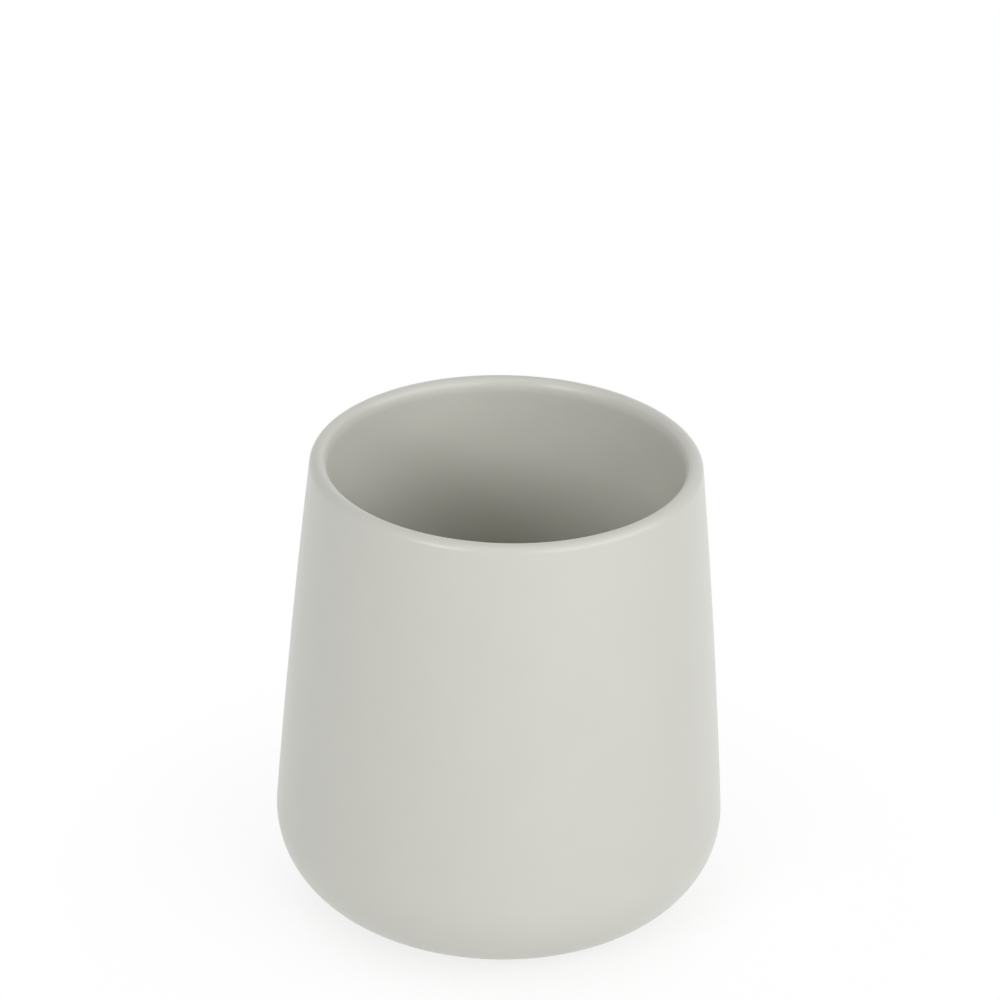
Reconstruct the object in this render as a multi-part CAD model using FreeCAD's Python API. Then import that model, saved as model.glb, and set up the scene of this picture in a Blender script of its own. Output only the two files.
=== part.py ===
# Bathroom tumbler: a slip-cast ceramic beaker that stands on four stuck-on non-slip pads.
# Lengths are in millimetres and +Z is up. The origin is on the tumbler's axis, at the surface it stands on.
import FreeCAD
import Part
import math
import os

# Ceramic body
overall_height = 100.0  # standing surface to the top of the lip
belly_diameter = 94.0  # widest girth, just above the base round
lip_diameter = 76.8  # across the crown of the lip
lip_edge_radius = 1.5  # round from the crown to the inside
lip_ease_radius = 4.5  # longer round that eases the lip into the inner wall
wall_thickness = 3.7
side_radius = 2100.0  # the side swells outwards on a very flat arc
base_round_radius = 18.0  # the large round between the side and the base
floor_thickness = 4.5  # measured over the recess in the underside
foot_ring_width = 2.5  # flat unglazed ring that carried the body in the kiln
recess_depth = 1.2  # from the foot ring up to the recessed underside

# Non-slip pads
pad_count = 4
pad_diameter = 9.0
pad_thickness = 1.8
pad_edge_radius = 0.5  # round on the edge that meets the surface
pad_clearance = 0.8  # between a pad's side and the round at the edge of the recess

# Adhesive films that bond the pads to the recessed underside
adhesive_thickness = 0.2
adhesive_inset = 0.25  # the film stops this far inside the pad's edge

# Heights and radii that follow from the sizes above
recess_height = pad_thickness + adhesive_thickness
foot_height = recess_height - recess_depth
floor_height = recess_height + floor_thickness
belly_radius = belly_diameter / 2
lip_outer_radius = wall_thickness / 2  # round from the side up to the crown
lip_centre = FreeCAD.Vector(lip_diameter / 2, 0, overall_height - lip_outer_radius)
edge_centre = FreeCAD.Vector(lip_diameter / 2, 0, overall_height - lip_edge_radius)
base_centre = FreeCAD.Vector(belly_radius - base_round_radius, 0, foot_height + base_round_radius)
ring_inner_radius = base_centre.x - foot_ring_width
ceiling_radius = ring_inner_radius - recess_depth  # flat part of the recessed underside
pad_circle_radius = ceiling_radius - pad_clearance - pad_diameter / 2
inner_round_radius = base_round_radius - wall_thickness
inner_side_radius = side_radius - wall_thickness
axis_base = FreeCAD.Vector(0, 0, 0)
axis_up = FreeCAD.Vector(0, 0, 1)

UP = math.pi / 2
DOWN = -UP
HALF_TURN = math.pi
FULL_TURN_DEGREES = 360


def direction(angle):
    """Unit vector in the XZ plane, turned by angle from +X towards +Z."""
    return FreeCAD.Vector(math.cos(angle), 0, math.sin(angle))


def angle_of(vector):
    """Angle of a vector in the XZ plane, from +X towards +Z."""
    return math.atan2(vector.z, vector.x)


def arc(centre, radius, start_angle, end_angle):
    """Edge of a circle in the XZ plane, drawn from one angle to the other."""
    angles = (start_angle, (start_angle + end_angle) / 2, end_angle)
    start, middle, end = (centre + direction(angle) * radius for angle in angles)
    return Part.Arc(start, middle, end).toShape()


def line(start, end):
    """Straight edge between two points."""
    return Part.LineSegment(start, end).toShape()


def point_between(start, start_reach, end, end_reach):
    """Point at a given reach from each of two points, on the left of the way from one to the other."""
    span = end - start
    along = (start_reach**2 - end_reach**2 + span.Length**2) / (2 * span.Length)
    across = math.sqrt(start_reach**2 - along**2)
    span.normalize()
    leftwards = FreeCAD.Vector(-span.z, 0, span.x)
    return start + span * along + leftwards * across


def side_arc_centre():
    """Centre of the side's arc, which touches the base round and the lip's outer round from outside."""
    base_reach = side_radius - base_round_radius
    lip_reach = side_radius - lip_outer_radius
    return point_between(base_centre, base_reach, lip_centre, lip_reach)


def ease_arc_centre(side_centre):
    """Centre of the round that leads from the lip's edge round into the inner side."""
    edge_reach = lip_ease_radius - lip_edge_radius
    side_reach = inner_side_radius + lip_ease_radius
    return point_between(edge_centre, edge_reach, side_centre, side_reach)


def inner_round_centre(side_centre):
    """Centre of the round inside the base, which touches the floor and the inner side."""
    height = floor_height + inner_round_radius
    reach = inner_side_radius - inner_round_radius
    radius = side_centre.x + math.sqrt(reach**2 - (height - side_centre.z) ** 2)
    return FreeCAD.Vector(radius, 0, height)


def recess_edges():
    """Underside from the axis to the foot ring: a flat ceiling, then two quarter rounds down to the ring."""
    round_radius = recess_depth / 2
    middle_height = foot_height + round_radius
    hollow = FreeCAD.Vector(ceiling_radius, 0, middle_height)
    shoulder = FreeCAD.Vector(ring_inner_radius, 0, middle_height)
    axis_point = FreeCAD.Vector(0, 0, recess_height)
    ceiling_end = FreeCAD.Vector(ceiling_radius, 0, recess_height)
    return [
        line(axis_point, ceiling_end),
        arc(hollow, round_radius, UP, 0),
        arc(shoulder, round_radius, -HALF_TURN, DOWN),
    ]


def body_section():
    """Half section of the ceramic body, closed along the axis."""
    side_centre = side_arc_centre()
    inner_centre = inner_round_centre(side_centre)
    base_angle = angle_of(base_centre - side_centre)
    lip_angle = angle_of(lip_centre - side_centre)
    ease_centre = ease_arc_centre(side_centre)
    edge_angle = angle_of(edge_centre - ease_centre)
    ease_angle = angle_of(ease_centre - side_centre)
    inner_angle = angle_of(inner_centre - side_centre)
    underside = recess_edges()
    ring_start = underside[-1].Vertexes[-1].Point
    ring_end = base_centre + direction(DOWN) * base_round_radius
    floor_edge = inner_centre + direction(DOWN) * inner_round_radius
    floor_middle = FreeCAD.Vector(0, 0, floor_height)
    edges = underside + [
        line(ring_start, ring_end),
        arc(base_centre, base_round_radius, DOWN, base_angle),
        arc(side_centre, side_radius, base_angle, lip_angle),
        arc(lip_centre, lip_outer_radius, lip_angle, UP),
        arc(edge_centre, lip_edge_radius, UP, edge_angle),
        arc(ease_centre, lip_ease_radius, edge_angle, ease_angle + HALF_TURN),
        arc(side_centre, inner_side_radius, ease_angle, inner_angle),
        arc(inner_centre, inner_round_radius, inner_angle, DOWN),
        line(floor_edge, floor_middle),
        line(floor_middle, FreeCAD.Vector(0, 0, recess_height)),
    ]
    return Part.Face(Part.Wire(Part.__sortEdges__(edges)))


def ceramic_body():
    """The beaker: one turned shell with a rolled lip, a rounded base and a recessed underside."""
    return body_section().revolve(axis_base, axis_up, FULL_TURN_DEGREES)


def pad_place(index):
    """Centre of a pad, on the standing surface."""
    turn = 2 * math.pi * (index + 1 / 2) / pad_count
    return FreeCAD.Vector(math.cos(turn), math.sin(turn), 0) * pad_circle_radius


def foot_pad(index):
    """Non-slip disc with a rounded lower edge, standing on the surface."""
    disc = Part.makeCylinder(pad_diameter / 2, pad_thickness, pad_place(index), axis_up)
    lower_edge = min(disc.Edges, key=lambda edge: edge.BoundBox.ZMax)
    return disc.makeFillet(pad_edge_radius, [lower_edge])


def pad_adhesive(index):
    """Thin film between a pad's top and the recessed underside."""
    seat = pad_place(index) + axis_up * pad_thickness
    return Part.makeCylinder(pad_diameter / 2 - adhesive_inset, adhesive_thickness, seat, axis_up)


def all_pieces():
    """Every piece of the tumbler by its node name."""
    pieces = {"ceramic_body": ceramic_body()}
    for index in range(pad_count):
        pieces[f"foot_pad_{index + 1}"] = foot_pad(index)
        pieces[f"pad_adhesive_{index + 1}"] = pad_adhesive(index)
    return pieces


os.makedirs("parts", exist_ok=True)
for name, shape in all_pieces().items():
    shape.exportStep(f"parts/{name}.step")
    box = shape.BoundBox
    print(f"{name}: valid {shape.isValid()}, {shape.Volume:.1f} mm3, z {box.ZMin:.2f} to {box.ZMax:.2f}")
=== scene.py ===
import math
import bmesh
import bpy
from mathutils import Matrix, Vector
from mathutils.geometry import intersect_sphere_sphere_2d


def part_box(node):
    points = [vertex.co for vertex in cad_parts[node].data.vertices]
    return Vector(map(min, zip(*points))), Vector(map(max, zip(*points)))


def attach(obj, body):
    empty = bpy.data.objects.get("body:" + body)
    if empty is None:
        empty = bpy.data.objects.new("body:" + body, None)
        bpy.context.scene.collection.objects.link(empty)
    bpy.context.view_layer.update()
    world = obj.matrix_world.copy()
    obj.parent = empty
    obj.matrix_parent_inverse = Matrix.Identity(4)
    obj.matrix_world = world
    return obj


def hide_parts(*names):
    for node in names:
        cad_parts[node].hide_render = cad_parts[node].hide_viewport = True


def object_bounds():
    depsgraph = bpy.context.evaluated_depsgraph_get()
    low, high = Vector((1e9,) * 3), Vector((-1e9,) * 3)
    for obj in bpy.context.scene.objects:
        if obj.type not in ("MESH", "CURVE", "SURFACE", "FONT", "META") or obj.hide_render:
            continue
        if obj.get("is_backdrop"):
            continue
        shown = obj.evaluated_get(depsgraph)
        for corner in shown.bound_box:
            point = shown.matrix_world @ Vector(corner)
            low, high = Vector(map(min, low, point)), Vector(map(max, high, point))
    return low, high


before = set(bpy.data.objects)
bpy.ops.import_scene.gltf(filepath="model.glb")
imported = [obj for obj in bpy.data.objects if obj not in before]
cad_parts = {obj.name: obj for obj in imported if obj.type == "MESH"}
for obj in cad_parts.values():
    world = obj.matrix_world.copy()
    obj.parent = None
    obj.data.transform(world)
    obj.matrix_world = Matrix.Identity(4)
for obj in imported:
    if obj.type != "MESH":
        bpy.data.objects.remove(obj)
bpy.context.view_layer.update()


# Camera
# A long lens on a tripod looks down at the tumbler from the front.
# Its place, tilt and roll were found by fitting the tumbler's outline to the reference view.
QUARTER_TURN = math.pi / 2
picture_width = 1000  # pixels
focal_length = 4500  # pixels
axis_offset = 6.37  # pixels from the picture's middle to the tumbler's axis
camera_distance = 0.9218
aim_height = 0.0901
pitch = math.radians(27.03)
roll = math.radians(1.271)


def turn(angle, axis):
    """Matrix of a turn about one of the axes."""
    return Matrix.Rotation(angle, 4, axis)


lens = bpy.data.cameras.new("camera")
lens.lens = lens.sensor_width * focal_length / picture_width
camera = bpy.data.objects.new("camera", lens)
camera_back = camera_distance * math.cos(pitch)
camera_height = aim_height + camera_distance * math.sin(pitch)
camera.matrix_world = (
    Matrix.Translation((0, -camera_back, camera_height))
    @ turn(math.atan(axis_offset / focal_length), "Z")
    @ turn(QUARTER_TURN - pitch, "X")
    @ turn(roll, "Z")
)
scene = bpy.context.scene
scene.collection.objects.link(camera)
scene.camera = camera
scene.view_settings.view_transform = "Standard"


# Ceramic body
# A slip-cast stoneware beaker with a rolled lip, a rounded base and a recessed underside. It is glazed matte
# pale grey inside and out, apart from the bare foot ring that it was fired on. Its half section is drawn by
# carrying a point along straights and round the centre of each round, and is then turned about the axis.
HALF_TURN = math.pi
FULL_TURN = 2 * math.pi
wall_thickness = 0.0037
lip_diameter = 0.0768  # across the crown of the lip
lip_edge_radius = 0.0015  # round from the crown to the inside
lip_ease_radius = 0.0045  # longer round that eases the lip into the inner wall
side_radius = 2.1  # the side swells outwards on a very flat arc
base_round_radius = 0.018
floor_thickness = 0.0045
foot_ring_width = 0.0025
merge_distance = 1e-6
crease_angle = math.radians(40)

body_low, body_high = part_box("ceramic_body")
foot_height = body_low.z
recess_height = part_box("pad_adhesive_1")[1].z  # the top of a film lies against the recessed underside
floor_height = recess_height + floor_thickness
lip_outer_radius = wall_thickness / 2
lip_centre = Vector((lip_diameter / 2, body_high.z - lip_outer_radius))
edge_centre = Vector((lip_diameter / 2, body_high.z - lip_edge_radius))
base_centre = Vector((body_high.x - base_round_radius, foot_height + base_round_radius))
recess_round = (recess_height - foot_height) / 2
ring_inner = base_centre.x - foot_ring_width
ceiling_radius = ring_inner - 2 * recess_round
recess_middle = foot_height + recess_round
side_centre = min(
    intersect_sphere_sphere_2d(
        base_centre, side_radius - base_round_radius, lip_centre, side_radius - lip_outer_radius
    ),
    key=lambda point: point.x,
)
inner_side_radius = side_radius - wall_thickness
ease_centre = min(
    intersect_sphere_sphere_2d(
        edge_centre, lip_ease_radius - lip_edge_radius, side_centre, inner_side_radius + lip_ease_radius
    ),
    key=lambda point: point.y,
)
inner_round = base_round_radius - wall_thickness
inner_height = floor_height + inner_round
inner_reach = inner_side_radius - inner_round
inner_radius = side_centre.x + math.sqrt(inner_reach**2 - (inner_height - side_centre.y) ** 2)
inner_centre = Vector((inner_radius, inner_height))


class Section:
    """Half section of a turned piece: a point that leaves edges behind it as it is carried along."""

    def __init__(self, radius, height):
        self.drawing = bmesh.new()
        self.point = self.drawing.verts.new((radius, 0, height))

    def line(self, radius, height):
        """Carries the point straight to a radius and height."""
        self.point = bmesh.ops.extrude_vert_indiv(self.drawing, verts=[self.point])["verts"][0]
        self.point.co = (radius, 0, height)

    def arc(self, centre, angle, steps):
        """Carries the point round a centre, upwards on its outer side where the angle is positive."""
        made = bmesh.ops.spin(
            self.drawing,
            geom=[self.point],
            cent=(centre[0], 0, centre[1]),
            axis=(0, -1, 0),
            angle=angle,
            steps=steps,
        )
        self.point = [part for part in made["geom_last"] if isinstance(part, bmesh.types.BMVert)][0]

    def turned(self, steps):
        """Turns the section about the Z axis into a closed solid."""
        bmesh.ops.spin(
            self.drawing,
            geom=self.drawing.verts[:] + self.drawing.edges[:],
            axis=(0, 0, 1),
            angle=FULL_TURN,
            steps=steps,
            use_merge=True,
        )
        bmesh.ops.remove_doubles(self.drawing, verts=self.drawing.verts[:], dist=merge_distance)
        bmesh.ops.recalc_face_normals(self.drawing, faces=self.drawing.faces[:])
        return self.drawing


def slope(centre, seen_from=side_centre):
    """Angle at which one centre, the side's unless another is given, sees another."""
    return math.atan2(centre.y - seen_from.y, centre.x - seen_from.x)


ease_slope = slope(edge_centre, ease_centre)
section = Section(0, recess_height)
section.line(ceiling_radius, recess_height)
section.arc((ceiling_radius, recess_middle), -QUARTER_TURN, steps=8)
section.arc((ring_inner, recess_middle), QUARTER_TURN, steps=8)
section.line(base_centre.x, foot_height)
section.arc(base_centre, QUARTER_TURN + slope(base_centre), steps=40)
section.arc(side_centre, slope(lip_centre) - slope(base_centre), steps=24)
section.arc(lip_centre, QUARTER_TURN - slope(lip_centre), steps=14)
section.arc(edge_centre, ease_slope - QUARTER_TURN, steps=10)
section.arc(ease_centre, slope(ease_centre) + HALF_TURN - ease_slope, steps=14)
section.arc(side_centre, slope(inner_centre) - slope(ease_centre), steps=24)
section.arc(inner_centre, -QUARTER_TURN - slope(inner_centre), steps=32)
section.line(0, floor_height)


def tinted(colour, factor):
    """A colour made lighter or darker."""
    return (colour[0] * factor, colour[1] * factor, colour[2] * factor, 1)


class Wire:
    """Output of a shader node; sums and products of wires add Math nodes to their tree."""

    def __init__(self, socket):
        self.socket = socket

    @staticmethod
    def new(tree, kind, settings, inputs, output=0):
        """Adds a node of any kind to a tree: its settings are set first, and then its sockets."""
        made = tree.nodes.new(kind)
        for name, value in settings.items():
            setattr(made, name, value)
        for name, value in inputs.items():
            if isinstance(value, Wire):
                tree.links.new(value.socket, made.inputs[name])
            else:
                made.inputs[name].default_value = value
        return Wire(made.outputs[output]) if made.outputs else None

    def node(self, kind, settings, inputs, output=0):
        """Adds a node to this wire's tree."""
        return Wire.new(self.socket.id_data, kind, settings, inputs, output)

    def math(self, operation, first, second):
        """Adds a Math node on two wires or numbers."""
        return self.node("ShaderNodeMath", {"operation": operation}, {0: first, 1: second})

    def __add__(self, other):
        return self.math("ADD", self, other)

    def __sub__(self, other):
        return self.math("SUBTRACT", self, other)

    def __rsub__(self, other):
        return self.math("SUBTRACT", other, self)

    def __mul__(self, other):
        return self.math("MULTIPLY", self, other)

    __radd__ = __add__
    __rmul__ = __mul__

    def noise(self, size, octaves):
        """Cloudy pattern from 0 to 1 with lumps of this size."""
        inputs = {"Vector": self, "Scale": 1 / size, "Detail": octaves}
        return self.node("ShaderNodeTexNoise", {}, inputs)

    def step(self, start, end):
        """Smooth step from 0 at start to 1 at end."""
        inputs = {"Value": self, "From Min": start, "From Max": end}
        return self.node("ShaderNodeMapRange", {"interpolation_type": "SMOOTHSTEP"}, inputs)

    def mix(self, first, second):
        """Colour between two, with this wire as the share of the second."""
        return self.node("ShaderNodeMix", {"data_type": "RGBA"}, {0: self, 6: first, 7: second}, 2)

    def shades(self, colour, dark, light):
        """Colour that varies with this wire from a darker to a lighter tint."""
        return self.mix(tinted(colour, dark), tinted(colour, light))

    def feed(self, shader, name):
        """Links this wire to a socket of a shader."""
        self.socket.id_data.links.new(self.socket, shader.inputs[name])


def new_finish(name):
    """A material with its shader, the place on the piece and the height of that place."""
    material = bpy.data.materials.new(name)
    material.use_nodes = True
    tree = material.node_tree
    place = Wire.new(tree, "ShaderNodeTexCoord", {}, {}, "Object")
    height = place.node("ShaderNodeSeparateXYZ", {}, {"Vector": place}, "Z")
    return material, tree.nodes["Principled BSDF"], place, height


glaze_colour = (0.735, 0.732, 0.675, 1)
clay_colour = (0.70, 0.63, 0.53, 1)
crown_highlight_tint = 1.03  # painted highlight: the glaze is tinted a little paler over the crown of the lip, where it also thins
crown_depth = 0.0012
crown_fade = 0.001
cloud_size = 0.014
grain_size = 0.0006
glaze_line_height = 0.0003  # above the foot ring, up to where the glaze was wiped off
glaze_line_fade = 0.0001
glaze_line_wave = 0.00012
glaze_line_lump = 0.004
glaze_roughness = 0.3
cloud_roughness = 0.06
clay_roughness = 0.88
cloud_relief = 0.6
clay_relief = 0.5
glaze_smoothing = 0.3
glaze_bump_strength = 0.5
glaze_bump_depth = 0.00005

glaze, shader, place, height = new_finish("matte_glaze")
clouds = place.noise(cloud_size, octaves=3)
grain = place.noise(grain_size, octaves=2)
wavy_height = height + place.noise(glaze_line_lump, octaves=2) * glaze_line_wave
glaze_line = foot_height + glaze_line_height
glazed = wavy_height.step(glaze_line, glaze_line + glaze_line_fade)
# Painted highlight, partly thinner glaze: the crown of the lip is tinted paler than the rest of the glaze.
crown_low = body_high.z - crown_depth
crown_highlight = height.step(crown_low, crown_low + crown_fade)
tone = clouds.shades(glaze_colour, dark=0.98, light=1.02)
tone = crown_highlight.mix(tone, tinted(glaze_colour, crown_highlight_tint))
tone = glazed.mix(grain.shades(clay_colour, dark=0.9, light=1.08), tone)
tone.feed(shader, "Base Color")
glaze_smoothness = clay_roughness - glaze_roughness - clouds * cloud_roughness
(clay_roughness - glazed * glaze_smoothness).feed(shader, "Roughness")
relief = clouds * cloud_relief + grain * (clay_relief - glazed * glaze_smoothing) + glazed
bump = {"Height": relief, "Strength": glaze_bump_strength, "Distance": glaze_bump_depth}
place.node("ShaderNodeBump", {}, bump).feed(shader, "Normal")


def add_piece(name, drawing, material, node):
    """Puts a finished drawing in the scene in place of a CAD node, smooth apart from its corners."""
    mesh = bpy.data.meshes.new(name)
    drawing.to_mesh(mesh)
    drawing.free()
    mesh.materials.append(material)
    mesh.shade_smooth()
    mesh.set_sharp_from_angle(angle=crease_angle)
    piece = bpy.data.objects.new(name, mesh)
    scene.collection.objects.link(piece)
    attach(piece, "root")
    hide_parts(node)


add_piece("glazed_beaker", section.turned(steps=192), glaze, "ceramic_body")


# Adhesive films
# Discs of clear acrylic transfer tape, pressed against the recessed underside. Each is a little narrower
# than its pad, with an edge that has been squeezed round.
pad_count = 4
film_colour = (0.78, 0.74, 0.62, 1)
bubble_size = 0.0012
film_roughness = 0.3
bubble_roughness = 0.2

tape, shader, place, height = new_finish("adhesive_film")
bubbles = place.noise(bubble_size, octaves=2)
bubbles.shades(film_colour, dark=0.9, light=1.06).feed(shader, "Base Color")
(film_roughness + bubbles * bubble_roughness).feed(shader, "Roughness")


def disc_in_box(section, low, high, steps):
    """Turns a section into a disc over the middle of a node's box."""
    drawing = section.turned(steps)
    middle = ((low.x + high.x) / 2, (low.y + high.y) / 2, 0)
    bmesh.ops.translate(drawing, vec=middle, verts=drawing.verts[:])
    return drawing


for number in range(1, pad_count + 1):
    node = f"pad_adhesive_{number}"
    low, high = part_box(node)
    edge_radius = (high.z - low.z) / 2
    flat_radius = (high.x - low.x) / 2 - edge_radius
    section = Section(0, low.z)
    section.line(flat_radius, low.z)
    section.arc((flat_radius, low.z + edge_radius), HALF_TURN, steps=8)
    section.line(0, high.z)
    drawing = disc_in_box(section, low, high, steps=48)
    add_piece(f"adhesive_film_{number}", drawing, tape, node)


# Non-slip pads
# Moulded grey rubber discs that the tumbler stands on, with a rounded lower edge and ring-shaped grip
# grooves in the face that meets the surface. The film on top of each sticks it to the ceramic.
pad_edge_radius = 0.0005
groove_radius = 0.00025
groove_spacing = 0.00105
groove_count = 3
rubber_colour = (0.5, 0.49, 0.46, 1)
mottle_size = 0.002
dust_size = 0.0003
dust_low = 0.62  # of the dust's pattern, below which there is none
dust_high = 0.75
dust_tint = 1.2
scuff_low = 0.00002  # above the surface, where the pad has been rubbed smoother
scuff_high = 0.0003
rubber_roughness = 0.82
scuff_smoothness = 0.2
mottle_roughness = 0.08
rubber_grain_size = 0.00025
rubber_bump_strength = 0.4
rubber_bump_depth = 0.00004

rubber, shader, place, height = new_finish("pad_rubber")
mottle = place.noise(mottle_size, octaves=3)
dust = place.noise(dust_size, octaves=1).step(dust_low, dust_high)
tone = mottle.shades(rubber_colour, dark=0.93, light=1.05)
dust.mix(tone, tinted(rubber_colour, dust_tint)).feed(shader, "Base Color")
scuffed = 1 - height.step(scuff_low, scuff_high)
(rubber_roughness - scuffed * scuff_smoothness + mottle * mottle_roughness).feed(shader, "Roughness")
relief = place.noise(rubber_grain_size, octaves=2)
bump = {"Height": relief, "Strength": rubber_bump_strength, "Distance": rubber_bump_depth}
place.node("ShaderNodeBump", {}, bump).feed(shader, "Normal")

for number in range(1, pad_count + 1):
    node = f"foot_pad_{number}"
    low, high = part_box(node)
    pad_radius = (high.x - low.x) / 2
    section = Section(0, high.z)
    section.line(pad_radius, high.z)
    section.line(pad_radius, low.z + pad_edge_radius)
    section.arc((pad_radius - pad_edge_radius, low.z + pad_edge_radius), -QUARTER_TURN, steps=8)
    for groove in range(groove_count, 0, -1):
        groove_middle = groove * groove_spacing
        section.line(groove_middle + groove_radius, low.z)
        section.arc((groove_middle, low.z), HALF_TURN, steps=8)
    section.line(0, low.z)
    drawing = disc_in_box(section, low, high, steps=64)
    add_piece(f"non_slip_pad_{number}", drawing, rubber, node)


# Floor
# A plain white table top under the tumbler, wide enough for every view. The camera sees it white, with shade
# painted on where the tumbler overhangs it, and greyer in the lamps' shadow. Light bounces off it as off
# white paper.
floor_half_width = 4
white_colour = (1, 1, 1, 1)
white_strength = 1
paper_colour = (0.88, 0.88, 0.88, 1)
shade_colour = (0.86, 0.86, 0.86, 1)  # under the overhang
shade_reach = 0.06
shade_samples = 6
lit_colour = (0.86, 0.86, 0.86, 1)
shadow_share = 0.12  # of the lamps' shadow, next to the tumbler
shadow_start = 0.05
shadow_end = 0.1

drawing = bmesh.new()
bmesh.ops.create_grid(drawing, x_segments=1, y_segments=1, size=floor_half_width)
mesh = bpy.data.meshes.new("floor")
drawing.to_mesh(mesh)
drawing.free()
floor = bpy.data.objects.new("floor", mesh)
scene.collection.objects.link(floor)
floor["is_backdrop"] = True


def seen(tree):
    """1 for rays that show the background, straight from the camera, in a gloss or through glass."""
    camera_ray = Wire.new(tree, "ShaderNodeLightPath", {}, {}, "Is Camera Ray")
    glossy_ray = Wire.new(tree, "ShaderNodeLightPath", {}, {}, "Is Glossy Ray")
    clear_ray = Wire.new(tree, "ShaderNodeLightPath", {}, {}, "Is Transmission Ray")
    return camera_ray.math("MAXIMUM", camera_ray, camera_ray.math("MAXIMUM", glossy_ray, clear_ray))


table = bpy.data.materials.new("table")
table.use_nodes = True
tree = table.node_tree
tree.nodes.clear()
background = seen(tree)
paper = background.node("ShaderNodeBsdfDiffuse", {}, {"Color": paper_colour})
# Painted shade: the camera's white is greyed towards the shade colour where the tumbler overhangs the floor.
overhang = {"Distance": shade_reach}
openness = background.node("ShaderNodeAmbientOcclusion", {"samples": shade_samples}, overhang, "AO")
shaded = openness.mix(shade_colour, white_colour)
white = background.node("ShaderNodeEmission", {}, {"Color": shaded, "Strength": white_strength})
place = Wire.new(tree, "ShaderNodeTexCoord", {}, {}, "Object")
distance = place.node("ShaderNodeVectorMath", {"operation": "LENGTH"}, {0: place}, "Value")
shadow = shadow_share - shadow_share * distance.step(shadow_start, shadow_end)
sheet = background.node("ShaderNodeBsdfDiffuse", {}, {"Color": lit_colour})
lit = background.node("ShaderNodeAddShader", {}, {0: sheet, 1: sheet})
bright = background.node("ShaderNodeMixShader", {}, {0: shadow, 1: white, 2: lit})
shown = background.node("ShaderNodeMixShader", {}, {0: background, 1: paper, 2: bright})
shown.node("ShaderNodeOutputMaterial", {}, {"Surface": shown})
mesh.materials.append(table)


# Studio light
# Softboxes stand in front on both sides, with a larger one on the right, and one hangs overhead on the left.
# A fill behind the tumbler lights its far side and is kept out of its gloss. The walls give a little light
# too, and look white only behind the tumbler and in its gloss.
wall_light = 0.2
softbox_distance = 1.3

studio = bpy.data.worlds.new("studio")
scene.world = studio
studio.use_nodes = True
tree = studio.node_tree
tree.nodes.clear()
background = seen(tree)
walls = background.node("ShaderNodeBackground", {}, {"Color": white_colour, "Strength": wall_light})
backdrop = background.node("ShaderNodeBackground", {}, {"Color": white_colour, "Strength": white_strength})
shown = background.node("ShaderNodeMixShader", {}, {0: background, 1: walls, 2: backdrop})
shown.node("ShaderNodeOutputWorld", {}, {"Surface": shown})


def add_softbox(name, azimuth, elevation, width, height, power):
    """A lamp aimed at the tumbler; azimuth runs from the camera's side towards the right, in degrees."""
    lamp = bpy.data.lights.new(name, "AREA")
    lamp.shape = "RECTANGLE"
    lamp.size = width
    lamp.size_y = height
    lamp.energy = power
    softbox = bpy.data.objects.new(name, lamp)
    softbox.matrix_world = (
        Matrix.Translation((0, 0, body_high.z / 2))
        @ turn(math.radians(azimuth), "Z")
        @ turn(QUARTER_TURN - math.radians(elevation), "X")
        @ Matrix.Translation((0, 0, softbox_distance))
    )
    scene.collection.objects.link(softbox)
    return softbox


add_softbox("left_front_softbox", azimuth=-36, elevation=25, width=0.5, height=0.4, power=4.65)
add_softbox("right_front_softbox", azimuth=30, elevation=25, width=0.5, height=0.4, power=2.6)
add_softbox("right_softbox", azimuth=70, elevation=24, width=1.2, height=0.7, power=6.1)
add_softbox("overhead_softbox", azimuth=-95, elevation=66, width=1.2, height=1.2, power=1.8)
fill = add_softbox("back_softbox", azimuth=180, elevation=15, width=1.6, height=0.8, power=6.5)
fill.visible_glossy = False


low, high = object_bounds()
